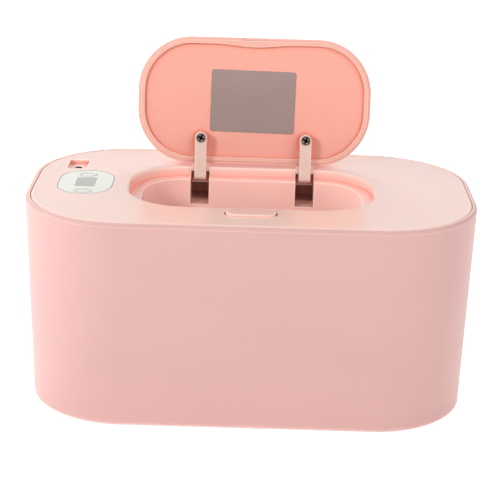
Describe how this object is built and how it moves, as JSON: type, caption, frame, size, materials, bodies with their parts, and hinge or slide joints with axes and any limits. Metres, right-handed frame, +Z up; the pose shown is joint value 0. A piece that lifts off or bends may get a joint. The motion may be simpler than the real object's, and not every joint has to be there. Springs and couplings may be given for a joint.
{
  "type": "baby wipe warmer",
  "caption": "Rounded tub for warm wet wipes with a lift-off lid unit, a sprung dispensing flap on gooseneck arms, a push latch, a display panel and a power inlet.",
  "frame": {"origin": "centre of the footprint, on the surface that the warmer stands on", "axes": "+X to the right seen from the front, +Y to the back where the flap is hinged, +Z up"},
  "size_m": [0.24, 0.14, 0.1841],
  "materials": {
    "shell_pink": "satin moulded plastic",
    "cover_pink": "glossy moulded plastic",
    "flap_pink": "satin moulded plastic, warmer pink",
    "tub_pink": "satin moulded plastic",
    "arm_steel": "satin, bead-blasted metal that picks up the pink round it",
    "foam": "closed-cell foam",
    "rubber": "soft rubber",
    "steel": "plain steel",
    "dark_steel": "blackened steel",
    "heater_metal": "sheet aluminium",
    "film": "polyimide film with etched track",
    "black_plastic": "black plastic",
    "panel_white": "smooth off-white plastic",
    "display_grey": "unlit liquid crystal display",
    "board_green": "circuit board",
    "wire": "wire insulation",
    "latch_white": "natural moulded plastic"
  },
  "bodies": {
    "tub": {"outer_shell": "shell_pink", "inner_tub": "tub_pink", "side_insulation": "foam", "base_insulation": "foam", "base_plate": "shell_pink", "rubber_feet": "rubber", "base_screws": "steel"},
    "lid_unit": {"top_cover": "cover_pink", "under_cover": "tub_pink", "cover_seal": "rubber", "cover_screws": "steel", "heater_plate": "heater_metal", "heating_film": "film", "heater_screws": "steel", "temperature_sensor": "black_plastic", "control_panel": "panel_white", "lcd_display": "display_grey", "touch_pads": "black_plastic", "control_board": "board_green", "board_screws": "steel", "dc_jack": "black_plastic", "jack_pin": "steel", "wiring_harness": "wire", "latch_bracket": "latch_white", "latch_screws": "steel", "latch_spring": "steel", "hinge_pins": "steel", "flap_springs": "steel"},
    "latch_button": {"latch_button": "cover_pink"},
    "latch_bolt": {"latch_bolt": "latch_white"},
    "flap": {"flap_cover": "cover_pink", "flap_liner": "flap_pink", "hinge_arm_left": "arm_steel", "hinge_arm_right": "arm_steel", "arm_screws": "dark_steel"}
  },
  "joints": [
    {"name": "lid_lift", "type": "slide", "parent": "tub", "child": "lid_unit", "axis": [0, 0, 1], "range_m": [0, 0.04]},
    {"name": "flap_hinge", "type": "hinge", "parent": "lid_unit", "child": "flap", "pos_m": [0, 0.03815, 0.1098], "axis": [1, 0, 0], "range_deg": [0, 101.5], "stiffness_Nm_per_rad": 0.012, "springref_deg": -34.38},
    {"name": "button_press", "type": "slide", "parent": "lid_unit", "child": "latch_button", "axis": [0, 0, -1], "range_m": [0, 0.0016], "stiffness_N_per_m": 400, "springref_m": -0.002, "deforming": ["latch_spring"]},
    {"name": "bolt_slide", "type": "slide", "parent": "lid_unit", "child": "latch_bolt", "axis": [0, -1, 0], "range_m": [0, 0.0012]}
  ],
  "couplings": [
    {"joint": "bolt_slide", "follows": "button_press", "ratio": 0.75}
  ]
}
